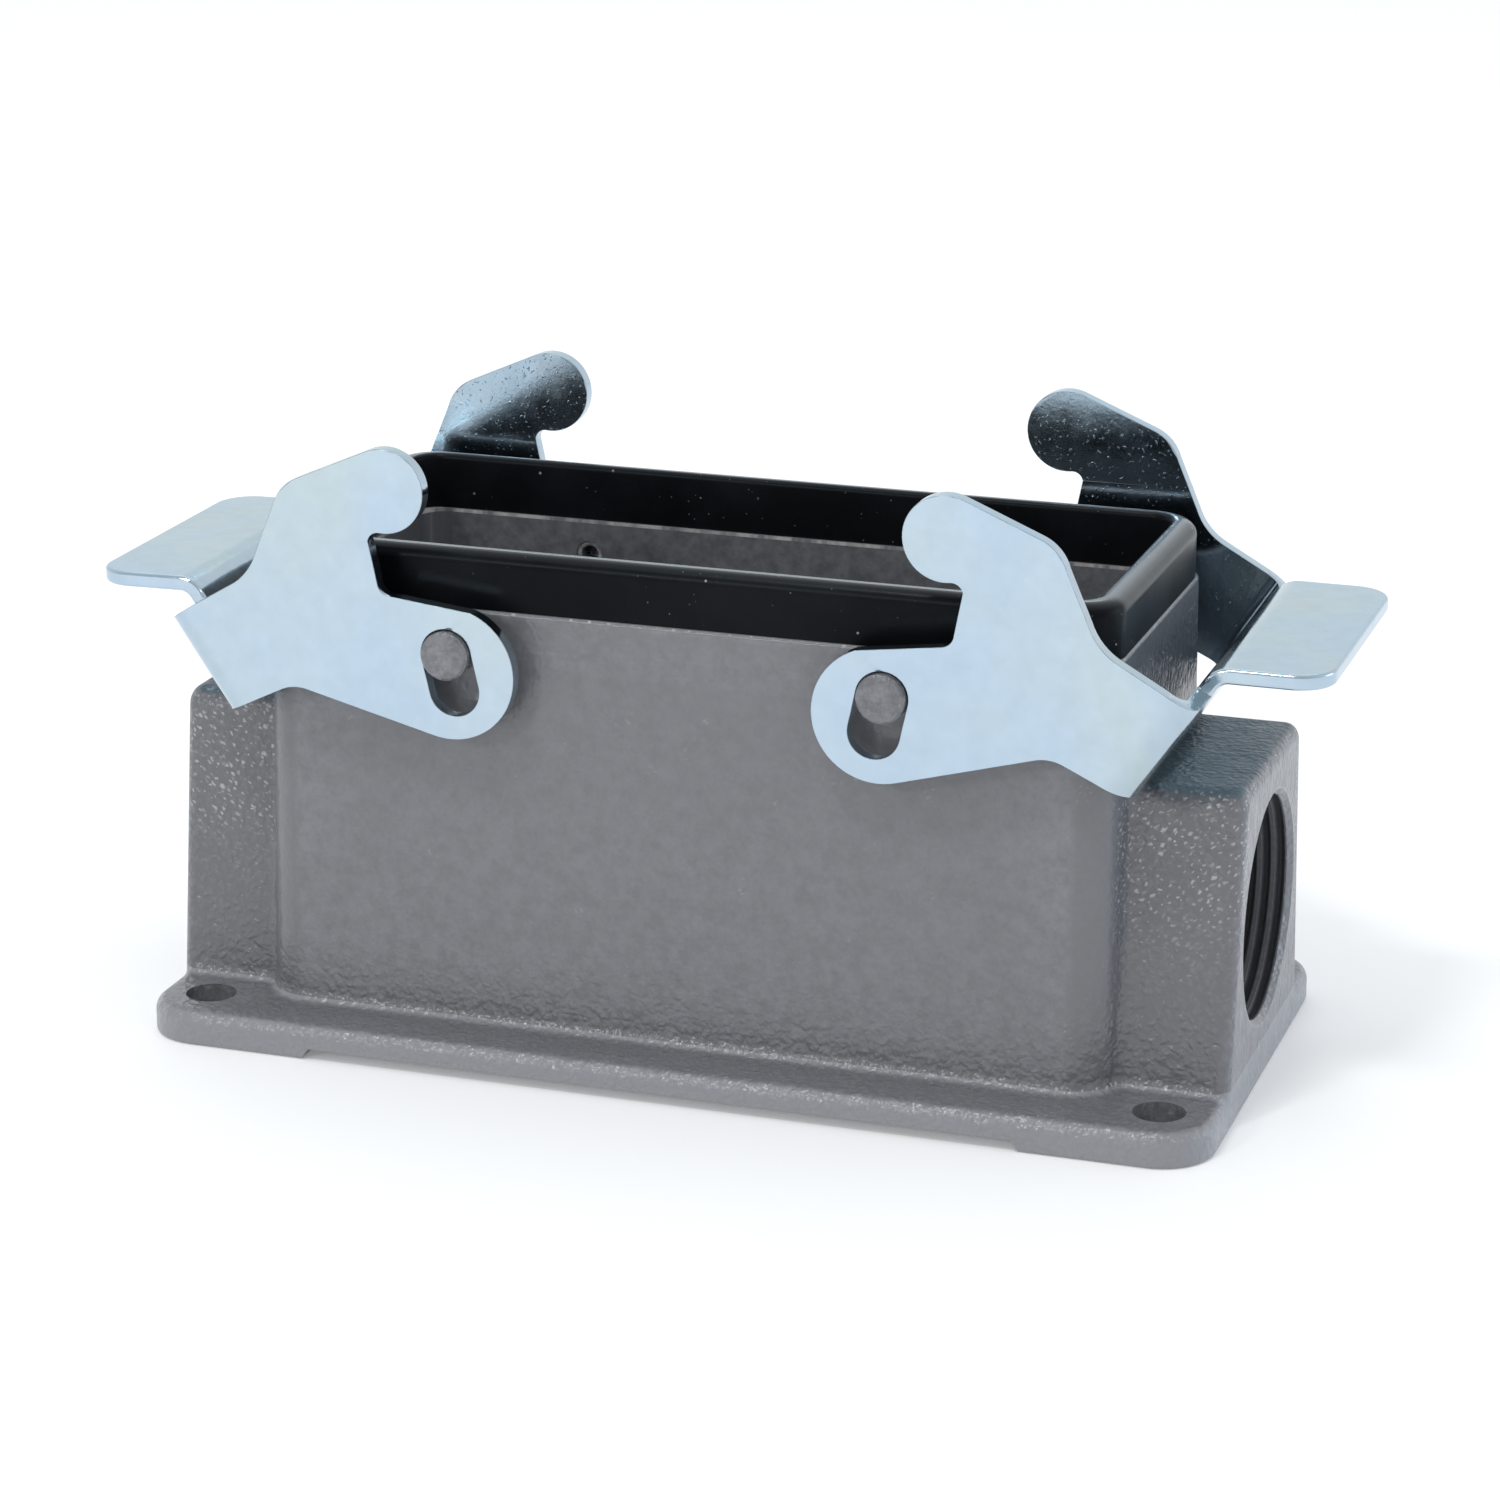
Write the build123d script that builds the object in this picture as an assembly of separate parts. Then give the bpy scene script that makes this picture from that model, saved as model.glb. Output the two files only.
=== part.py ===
from build123d import *
import os
from math import cos, sin, radians, hypot

# Surface-mounted connector housing with a rim seal and two locking levers on four pins.
# Millimetres. Origin at the centre of the underside, +Z up, +X (right) towards the cable
# entry, -Y front. The lever pins lie along Y.

os.makedirs("parts", exist_ok=True)

OVER = 1.0               # usual overrun of cutters, and overlap of joined pieces
NEAR = 0.02              # tolerance when picking housing edges by position

# base plate
PLATE_L, PLATE_W, PLATE_T = 117.0, 57.0, 3.85
PLATE_R = 6.0            # plan corner radius
PLATE_TOP_R, PLATE_LOW_R = 1.5, 0.5          # rounding of the upper and lower edges
HOLE_X, HOLE_Y = 105.0 / 2, 45.0 / 2         # fixing pattern
HOLE_R = 5.5 / 2
FOOT_X, FOOT_H = 38.6, 1.3                   # underside relief between the feet
FOOT_RUN = 0.9           # how far the relief widens down to the underside

# central box
BODY_HL, BODY_HW = 47.0, 21.3    # half length and half width at the foot
BODY_DRAFT = 1.0                 # degrees
BODY_TOP = 49.2                  # land that carries the seal
BODY_R, RIM_R = 5.0, 0.5         # plan corners, rounding of the rim
WALL_START = 0.8                 # height inside the plate where box and end blocks start
CORNER_R = 1.8                   # concave corners between box and end blocks
FOOT_RADII = (1.4, 1.0, 0.6)     # foot of the walls, in order of preference

# end blocks
BLOCK_X, BLOCK_TOP = 58.45, 35.3
BLOCK_HW_LOW, BLOCK_HW_TOP = 17.4, 13.8      # half widths at the plate and at the top
BLOCK_EDGE_R = 2.2       # long top edges
BLOCK_SIDE_R = 1.5       # edges of the end faces

# cavity, and the pocket in the left end block
CAV_HL, CAV_HW, CAV_R = 42.6, 17.5, 3.0
FLOOR_Z = 4.7
POCKET_X, POCKET_IN_X = 55.4, 30.0           # distances of its two ends from the centre
POCKET_HW, POCKET_TOP, POCKET_R = 11.2, 31.9, 2.5
POCKET_LOW = FLOOR_Z + 2.0

# seal and the tongue it sits over
SEAL_HL, SEAL_HW, SEAL_R = 46.0, 20.2, 5.0
SEAL_IN_HL, SEAL_IN_HW, SEAL_IN_R = 43.3, 17.95, 2.8
SEAL_TOP = 55.4
SEAL_TOP_R, SEAL_LIP_R = 1.35, 0.4           # rounding of the outer and inner top edges
TONGUE_OUT, TONGUE_T, TONGUE_TOP = 0.65, 0.8, 53.7   # inset from the seal, thickness, top

# cable entry, M25 x 1.5
ENTRY_Z = 18.8
CREST_R, ROOT_R = 11.9, 25.0 / 2
PITCH, THREADS = 1.5, 9
THREAD_LEAD = 0.6        # plain length between the mouth and the first groove
GROOVE_OPEN, GROOVE_ROOT = 0.58, 0.14        # half widths of a groove
ENTRY_OVER = 0.2         # overrun of the entry cutters past the mouth

# insert fixing bosses, M4
BOSS_X, BOSS_Y = 77.5 / 2, 27.0 / 2
BOSS_R, BOSS_TOP = 4.0, 42.5
BOSS_HOLE_R, BOSS_HOLE_L = 1.65, 10.0

# lever pins
PIN_X, PIN_Z = 23.4, 45.3
PIN_R, PIN_END, PIN_CHAMFER = 2.57, 25.5, 0.25
PIN_SEAT_Y, SEAT_CUT_Y = 20.0, 22.0          # seat floor, outer end of its cutter
SHANK_R, SHANK_END_Y = 1.5, 17.8
SHANK_BORE_Y = 16.0                          # inner end of the shank bore
SHANK_LAP = 0.2                              # overlap of shank and head
DIMPLE_R, DIMPLE_L = 0.95, 2.0               # blind hole in the inner end of each shank

# levers, with (x, z) points of the right lever in side view
SHEET = 1.6
BEND_R = 1.5             # inner bend radius
ARM_Y = 24.7             # outer face of the arms
LEFT_REST = 1.0          # degrees the left lever rests below the right one
HOOK_SET = 0.3           # the hooks stand this much further out
CREASE_Z, CREASE_HALF = 56.45, 0.45          # centre and half height of the arm crease
WEB_LOW, WEB_HIGH = (49.0, 36.85), (55.2, 46.45)     # ends of the outer face of the web
WEB_RUN_ON, CHANNEL_L, CHANNEL_DEPTH = 25.0, 75.0, 60.0  # oversize channel before trimming
TAB_TOP, TAB_X, TAB_HW, TAB_R = 49.45, 67.0, 17.5, 4.0
TAB_ROOT = 3.0           # the tab starts this far up the web
TAB_SOFT_X, TAB_SOFT_R = 57.5, 0.35          # edges beyond this X are softened
SLOT_R, SLOT_LOW = 2.75, (22.6, 41.55)
SIDE_HALF = 30.0         # half length along Y of side-view cuts and trims


def polygon(*points):
    return make_face(Polyline(*points, close=True))


def block(half_l, half_w, corner_r, z0, z1, taper=0.0):
    """Round-cornered upright block centred on the Z axis."""
    base = Pos(0, 0, z0) * RectangleRounded(2 * half_l, 2 * half_w, corner_r)
    return extrude(base, z1 - z0, taper=taper)


def rod_y(radius, y0, y1):
    """Cylinder along Y."""
    return Pos(0, (y0 + y1) / 2, 0) * Rot(90, 0, 0) * Cylinder(radius, abs(y1 - y0))


def through(face, half):
    """Side-view face extruded both ways along Y."""
    return extrude(Plane.XZ * face, half, both=True)


def fillet_if_possible(part, edges, *radii):
    """Fillet with the first radius the kernel accepts; unchanged if it accepts none."""
    for radius in radii:
        try:
            return fillet(edges, radius)
        except Exception:
            continue
    return part


# ---------------------------------------------------------------- housing
def make_plate():
    plate = block(PLATE_L / 2, PLATE_W / 2, PLATE_R, 0, PLATE_T)
    plate = fillet(plate.edges().group_by(Axis.Z)[-1], PLATE_TOP_R)
    return fillet(plate.edges().group_by(Axis.Z)[0], PLATE_LOW_R)


def make_end_blocks():
    """Both end blocks as one drafted cross-section drawn out along X."""
    lean = (BLOCK_HW_LOW - BLOCK_HW_TOP) / (BLOCK_TOP - PLATE_T)
    low_hw = BLOCK_HW_LOW + lean * (PLATE_T - WALL_START)
    section = Plane.YZ * polygon(
        (-low_hw, WALL_START), (low_hw, WALL_START),
        (BLOCK_HW_TOP, BLOCK_TOP), (-BLOCK_HW_TOP, BLOCK_TOP))
    ends = Pos(-BLOCK_X, 0, 0) * extrude(section, 2 * BLOCK_X, dir=(1, 0, 0))
    long_top = [e for e in ends.edges().filter_by(Axis.X) if e.center().Z > BLOCK_TOP - NEAR]
    ends = fillet(long_top, BLOCK_EDGE_R)
    # the end-face edges, without the lowest ones inside the plate
    face_edges = [e for e in ends.edges()
                  if abs(e.center().X) > BLOCK_X - NEAR and e.center().Z > 1.0]
    return fillet(face_edges, BLOCK_SIDE_R)


def make_shell():
    """Solid outer form: plate, central box and end blocks."""
    upper = block(BODY_HL, BODY_HW, BODY_R, WALL_START, BODY_TOP, BODY_DRAFT)
    upper = upper + make_end_blocks()
    # concave corners where an end block runs into the central box
    corners = [e for e in upper.edges()
               if 42.5 < abs(e.center().X) < 47.5 and 9 < abs(e.center().Y) < 18
               and 12 < e.center().Z < 26 and e.length > 20]
    upper = fillet_if_possible(upper, corners, CORNER_R)
    shell = make_plate() + upper
    # foot of the walls on the plate, inside the plate's own edges
    foot = [e for e in shell.edges()
            if abs(e.center().Z - PLATE_T) < NEAR and abs(e.center().Y) < 24
            and abs(e.center().X) < 57 and e.length > 1.0]
    shell = fillet_if_possible(shell, foot, *FOOT_RADII)
    return fillet(shell.edges().group_by(Axis.Z)[-1], RIM_R)


def make_tongue():
    """Thin upright frame in the top of the wall."""
    half_l, half_w = SEAL_HL - TONGUE_OUT, SEAL_HW - TONGUE_OUT
    radius = SEAL_R - TONGUE_OUT
    return (block(half_l, half_w, radius, BODY_TOP - OVER, TONGUE_TOP)
            - block(half_l - TONGUE_T, half_w - TONGUE_T, radius - TONGUE_T,
                    BODY_TOP - OVER, TONGUE_TOP))


def make_pocket():
    pocket = Pos(-(POCKET_X + POCKET_IN_X) / 2, 0, (POCKET_LOW + POCKET_TOP) / 2) * Box(
        POCKET_X - POCKET_IN_X, 2 * POCKET_HW, POCKET_TOP - POCKET_LOW)
    return fillet(pocket.edges().filter_by(Axis.X), POCKET_R)


def add_bosses(housing):
    """Four bosses, each tied to its side wall by a rib, with blind holes from the top."""
    low = FLOOR_Z - OVER
    height, mid_z = BOSS_TOP - low, (low + BOSS_TOP) / 2
    wall_y = CAV_HW + 0.5            # the ribs reach this far into the side walls
    keep = block(CAV_HL + OVER, CAV_HW + OVER, CAV_R, low, BOSS_TOP)
    for sx in (-1, 1):
        for sy in (-1, 1):
            x, y = sx * BOSS_X, sy * BOSS_Y
            column = Pos(x, y, mid_z) * Cylinder(BOSS_R, height)
            rib = Pos(x, sy * (BOSS_Y + wall_y) / 2, mid_z) * Box(
                2 * BOSS_R, wall_y - BOSS_Y, height)
            housing = housing + ((column + rib) & keep)
            housing = housing - Pos(x, y, BOSS_TOP - BOSS_HOLE_L / 2) * Cylinder(
                BOSS_HOLE_R, BOSS_HOLE_L)
    return housing


def cut_entry(housing):
    """Crest bore, lead-in chamfer and ring grooves for the thread, all about X."""
    bore_start, bore_end = CAV_HL - 1.2, BLOCK_X + ENTRY_OVER
    housing = housing - Pos((bore_start + bore_end) / 2, 0, ENTRY_Z) * Rot(0, 90, 0) * Cylinder(
        CREST_R, bore_end - bore_start)
    lead_x = BLOCK_X - (ROOT_R - CREST_R)            # 45 degree lead-in
    lead = polygon((bore_end, 0), (bore_end, ROOT_R + ENTRY_OVER), (lead_x, CREST_R), (lead_x, 0))
    cut = revolve(Plane.XZ * lead, Axis.X)
    groove_r = CREST_R - 0.05                        # starts just inside the bore
    for i in range(THREADS):
        x = BLOCK_X - THREAD_LEAD - PITCH * (i + 0.5)
        groove = polygon((x - GROOVE_OPEN, groove_r), (x - GROOVE_ROOT, ROOT_R),
                         (x + GROOVE_ROOT, ROOT_R), (x + GROOVE_OPEN, groove_r))
        cut = cut + revolve(Plane.XZ * groove, Axis.X)
    return housing - Pos(0, 0, ENTRY_Z) * cut


def make_housing(tongue):
    cavity = block(CAV_HL, CAV_HW, CAV_R, FLOOR_Z, BODY_TOP + OVER)
    housing = make_shell() - cavity - make_pocket()
    housing = housing + tongue
    housing = cut_entry(add_bosses(housing))
    # fixing holes, pin seats and shank bores
    for sx in (-1, 1):
        for sy in (-1, 1):
            pin_place = Pos(sx * PIN_X, 0, PIN_Z)
            housing = housing - Pos(sx * HOLE_X, sy * HOLE_Y, 0) * Cylinder(HOLE_R, 20)
            housing = housing - pin_place * rod_y(PIN_R, sy * PIN_SEAT_Y, sy * SEAT_CUT_Y)
            housing = housing - pin_place * rod_y(SHANK_R, sy * SHANK_BORE_Y, sy * PIN_SEAT_Y)
    # relief across the underside
    wide = FOOT_X + FOOT_RUN
    relief = polygon((-wide, -OVER), (-wide, 0), (-FOOT_X, FOOT_H),
                     (FOOT_X, FOOT_H), (wide, 0), (wide, -OVER))
    return housing - through(relief, 40)


# ---------------------------------------------------------------- seal
def make_seal(tongue):
    seal = block(SEAL_HL, SEAL_HW, SEAL_R, BODY_TOP, SEAL_TOP)
    seal = fillet(seal.edges().group_by(Axis.Z)[-1], SEAL_TOP_R)
    seal = seal - block(SEAL_IN_HL, SEAL_IN_HW, SEAL_IN_R, BODY_TOP - OVER, SEAL_TOP + OVER)
    inner = [e for e in seal.edges().group_by(Axis.Z)[-1]
             if abs(e.center().Y) < SEAL_IN_HW + 0.05 and abs(e.center().X) < SEAL_IN_HL + 0.05]
    return fillet_if_possible(seal, inner, SEAL_LIP_R) - tongue


# ---------------------------------------------------------------- lever pins
def make_pin():
    """Rear pin (+Y), with its axis on the Y axis."""
    pin = rod_y(PIN_R, PIN_SEAT_Y, PIN_END)
    pin = chamfer([e for e in pin.edges() if e.center().Y > PIN_END - 0.1], PIN_CHAMFER)
    pin = pin + rod_y(SHANK_R, SHANK_END_Y, PIN_SEAT_Y + SHANK_LAP)
    return pin - rod_y(DIMPLE_R, SHANK_END_Y, SHANK_END_Y + DIMPLE_L)


# ---------------------------------------------------------------- locking lever
# unit vector (x, z) up along the web; (web_z, -web_x) points out of its outer face
web_l = hypot(WEB_HIGH[0] - WEB_LOW[0], WEB_HIGH[1] - WEB_LOW[1])
web_x, web_z = (WEB_HIGH[0] - WEB_LOW[0]) / web_l, (WEB_HIGH[1] - WEB_LOW[1]) / web_l


def nose(angle):
    """Point on the round inner end of the hook."""
    return (29.75 + 4.45 * cos(radians(angle)), 62.2 + 4.45 * sin(radians(angle)))


def lobe(angle):
    """Point on the round lobe about the pin."""
    return (23.1 + 7.1 * cos(radians(angle)), 43.35 + 7.1 * sin(radians(angle)))


# side outline from the bottom of the lobe: (point an arc passes through or None, end point)
OUTLINE_START = lobe(286)
OUTLINE = [
    (None, (39.0, 40.3)),
    ((40.7, 40.5), (42.3, 40.05)),
    (None, (45.6, 38.5)),
    (None, WEB_LOW),
    (None, WEB_HIGH),
    (None, (52.2, 48.35)),
    (None, (47.6, 50.95)),
    ((45.6, 52.55), (44.35, 54.75)),
    (None, (42.1, 59.95)),
    ((41.2, 61.65), (39.5, 62.95)),
    (None, nose(68)),
    (nose(172), nose(276)),
    ((31.1, 57.6), (31.6, 56.85)),
    (None, (30.75, 52.45)),
    ((30.3, 51.5), (29.3, 51.1)),
    (None, lobe(111)),
    (lobe(198), OUTLINE_START),
]


def make_side():
    edges, start = [], OUTLINE_START
    for via, end in OUTLINE:
        edges.append(ThreePointArc(start, via, end) if via else Line(start, end))
        start = end
    return through(make_face(edges), SIDE_HALF)


def make_channel():
    """Two arms and the web, swept along the web; local x is Y, local y points inwards."""
    plane = Plane(origin=(WEB_LOW[0] - WEB_RUN_ON * web_x, 0, WEB_LOW[1] - WEB_RUN_ON * web_z),
                  x_dir=(0, 1, 0), z_dir=(web_x, 0, web_z))
    outer = polygon((-ARM_Y, CHANNEL_DEPTH), (-ARM_Y, 0), (ARM_Y, 0), (ARM_Y, CHANNEL_DEPTH))
    outer = fillet([v for v in outer.vertices() if abs(v.Y) < 0.01], BEND_R + SHEET)
    inner_y, open_end = ARM_Y - SHEET, CHANNEL_DEPTH + OVER
    inner = polygon((-inner_y, open_end), (-inner_y, SHEET), (inner_y, SHEET), (inner_y, open_end))
    inner = fillet([v for v in inner.vertices() if abs(v.Y - SHEET) < 0.01], BEND_R)
    return extrude(plane * (outer - inner), CHANNEL_L)


def make_arms():
    side = make_side()
    arms = make_channel() & side
    # above the crease the arms are replaced by hooks set further out
    low, high, top = CREASE_Z - CREASE_HALF, CREASE_Z + CREASE_HALF, 75
    arms = arms - Pos(30, 0, low + 20) * Box(60, 80, 40)
    for sy in (-1, 1):
        outer, inner, shift = sy * ARM_Y, sy * (ARM_Y - SHEET), sy * HOOK_SET
        strip = Plane.YZ * polygon(
            (inner, low), (outer, low), (outer + shift, high),
            (outer + shift, top), (inner + shift, top), (inner + shift, high))
        arms = arms + (extrude(strip, 80, dir=(1, 0, 0)) & side)
    return arms


def along_web(start, z):
    """Point at height z on the line through start parallel to the web."""
    return (start[0] + (z - start[1]) * web_x / web_z, z)


def corner_at(face, point):
    return [v for v in face.vertices() if hypot(v.X - point[0], v.Y - point[1]) < 0.01]


def make_tab():
    """Continues the web and bends out flat."""
    outer_root = (WEB_LOW[0] + TAB_ROOT * web_x, WEB_LOW[1] + TAB_ROOT * web_z)
    inner_root = (outer_root[0] - SHEET * web_z, outer_root[1] + SHEET * web_x)
    under_bend = along_web(outer_root, TAB_TOP - SHEET)
    top_bend = along_web(inner_root, TAB_TOP)
    strip = polygon(outer_root, under_bend, (TAB_X, TAB_TOP - SHEET),
                    (TAB_X, TAB_TOP), top_bend, inner_root)
    strip = fillet(corner_at(strip, under_bend), BEND_R)
    strip = fillet(corner_at(strip, top_bend), BEND_R + SHEET)
    tab = through(strip, TAB_HW)
    return fillet([e for e in tab.edges().filter_by(Axis.Z) if e.center().X > TAB_X - 0.1], TAB_R)


def make_lever():
    slot = make_hull([e for x, z in ((PIN_X, PIN_Z), SLOT_LOW)
                      for e in (Pos(x, z) * Circle(SLOT_R)).edges()])
    lever = make_arms() + make_tab()
    lever = lever - through(slot, SIDE_HALF)
    soft = [e for e in lever.edges() if e.center().X > TAB_SOFT_X and e.length > 3]
    return fillet_if_possible(lever, soft, TAB_SOFT_R)


# ---------------------------------------------------------------- export
tongue = make_tongue()
export_step(make_housing(tongue), "parts/housing.step")
export_step(make_seal(tongue), "parts/rim_seal.step")

rear_pin = make_pin()
for sx, side_name in ((-1, "left"), (1, "right")):
    for turn, end_name in ((180, "front"), (0, "rear")):
        placed = Pos(sx * PIN_X, 0, PIN_Z) * Rot(0, 0, turn) * rear_pin
        export_step(placed, f"parts/pin_{side_name}_{end_name}.step")

lever = make_lever()
export_step(lever, "parts/lever_right.step")

# the left lever is the same pressing turned round, then tilted about its pins
left = Rot(0, 0, 180) * lever
left = Pos(-PIN_X, 0, PIN_Z) * Rot(0, -LEFT_REST, 0) * Pos(PIN_X, 0, -PIN_Z) * left
export_step(left, "parts/lever_left.step")
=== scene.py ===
import bpy, bmesh, math
from mathutils import Vector, Matrix


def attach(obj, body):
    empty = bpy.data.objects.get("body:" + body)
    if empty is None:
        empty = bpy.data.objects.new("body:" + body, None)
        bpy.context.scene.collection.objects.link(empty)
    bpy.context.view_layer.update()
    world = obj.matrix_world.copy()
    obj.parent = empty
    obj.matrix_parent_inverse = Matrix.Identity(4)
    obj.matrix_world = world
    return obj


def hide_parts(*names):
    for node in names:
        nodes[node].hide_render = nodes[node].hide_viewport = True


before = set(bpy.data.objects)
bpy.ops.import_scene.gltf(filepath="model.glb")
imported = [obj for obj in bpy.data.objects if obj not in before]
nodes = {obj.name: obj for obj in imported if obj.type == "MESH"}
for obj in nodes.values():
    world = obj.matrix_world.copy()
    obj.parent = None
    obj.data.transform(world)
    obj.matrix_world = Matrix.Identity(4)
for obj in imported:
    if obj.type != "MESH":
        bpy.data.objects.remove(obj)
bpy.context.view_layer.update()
S = bpy.context.scene
S.view_settings.view_transform = "Standard"
S.view_settings.look = "None"


# ---------------------------------------------------------------- node helpers
class Mat:
    def __init__(self, name):
        self.m = bpy.data.materials.new(name)
        self.m.use_nodes = True
        self.t = self.m.node_tree
        self.t.nodes.clear()
        self.out = self.add("ShaderNodeOutputMaterial")
        self.bsdf = self.add("ShaderNodeBsdfPrincipled")
        self.link(self.bsdf.outputs[0], self.out.inputs[0])
        self.co = self.add("ShaderNodeTexCoord").outputs["Object"]

    def add(self, kind, **kw):
        n = self.t.nodes.new(kind)
        for k, v in kw.items():
            setattr(n, k, v)
        return n

    def link(self, a, b):
        self.t.links.new(a, b)

    def put(self, sock, v):
        if hasattr(v, "is_output"):
            self.link(v, sock)
        else:
            sock.default_value = v

    def math(self, op, a, b=None, c=None, clamp=False):
        n = self.add("ShaderNodeMath", operation=op, use_clamp=clamp)
        self.put(n.inputs[0], a)
        if b is not None:
            self.put(n.inputs[1], b)
        if c is not None:
            self.put(n.inputs[2], c)
        return n.outputs[0]

    def noise(self, scale, detail=2.0, rough=0.5, co=None, dist=0.0, dim="3D"):
        n = self.add("ShaderNodeTexNoise", noise_dimensions=dim)
        self.link(co or self.co, n.inputs["Vector"])
        n.inputs["Scale"].default_value = scale
        n.inputs["Detail"].default_value = detail
        n.inputs["Roughness"].default_value = rough
        n.inputs["Distortion"].default_value = dist
        return n.outputs["Fac"]

    def voronoi(self, scale, feature="F1", co=None, rand=1.0, smooth=None):
        n = self.add("ShaderNodeTexVoronoi", feature=feature)
        self.link(co or self.co, n.inputs["Vector"])
        n.inputs["Scale"].default_value = scale
        n.inputs["Randomness"].default_value = rand
        if smooth is not None:
            n.inputs["Smoothness"].default_value = smooth
        return n.outputs["Distance"]

    def mapped(self, scale=(1, 1, 1), rot=(0, 0, 0), loc=(0, 0, 0)):
        n = self.add("ShaderNodeMapping")
        self.link(self.co, n.inputs["Vector"])
        n.inputs["Scale"].default_value = scale
        n.inputs["Rotation"].default_value = rot
        n.inputs["Location"].default_value = loc
        return n.outputs[0]

    def ramp(self, fac, stops, interp="LINEAR"):
        n = self.add("ShaderNodeValToRGB")
        self.link(fac, n.inputs[0])
        r = n.color_ramp
        r.interpolation = interp
        while len(r.elements) > 1:
            r.elements.remove(r.elements[-1])
        r.elements[0].position = stops[0][0]
        r.elements[0].color = self.rgba(stops[0][1])
        for p, c in stops[1:]:
            e = r.elements.new(p)
            e.color = self.rgba(c)
        return n.outputs[0]

    @staticmethod
    def rgba(c):
        if isinstance(c, (int, float)):
            return (c, c, c, 1)
        return (*c, 1) if len(c) == 3 else c

    def mix(self, fac, a, b, blend="MIX"):
        n = self.add("ShaderNodeMix", data_type="RGBA", blend_type=blend)
        self.put(n.inputs[0], fac)
        for i, v in ((6, a), (7, b)):
            if hasattr(v, "is_output"):
                self.link(v, n.inputs[i])
            else:
                n.inputs[i].default_value = self.rgba(v)
        return n.outputs[2]

    def bump(self, height, dist, strength=1.0, normal=None):
        n = self.add("ShaderNodeBump")
        self.link(height, n.inputs["Height"])
        n.inputs["Distance"].default_value = dist
        n.inputs["Strength"].default_value = strength
        if normal is not None:
            self.link(normal, n.inputs["Normal"])
        return n.outputs[0]

    def bevel(self, r, samples=4):
        n = self.add("ShaderNodeBevel", samples=samples)
        n.inputs["Radius"].default_value = r
        return n.outputs[0]

    def set(self, **kw):
        for k, v in kw.items():
            self.put(self.bsdf.inputs[k.replace("_", " ")], v)


def srgb(r, g, b):
    f = lambda c: c / 255 / 12.92 if c / 255 <= 0.04045 else ((c / 255 + 0.055) / 1.055) ** 2.4
    return (f(r), f(g), f(b))


# ---------------------------------------------------------------- materials
def warped(m, scale, amount):
    """Object coordinates pushed about by noise, so that cells lose their regular look."""
    n = m.add("ShaderNodeTexNoise")
    m.link(m.co, n.inputs["Vector"])
    n.inputs["Scale"].default_value = scale
    n.inputs["Detail"].default_value = 2
    mid = m.add("ShaderNodeVectorMath", operation="SUBTRACT")
    m.link(n.outputs["Color"], mid.inputs[0])
    mid.inputs[1].default_value = (0.5, 0.5, 0.5)
    sc = m.add("ShaderNodeVectorMath", operation="SCALE")
    m.link(mid.outputs[0], sc.inputs[0])
    sc.inputs["Scale"].default_value = amount
    add = m.add("ShaderNodeVectorMath", operation="ADD")
    m.link(m.co, add.inputs[0])
    m.link(sc.outputs[0], add.inputs[1])
    return add.outputs[0]


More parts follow.
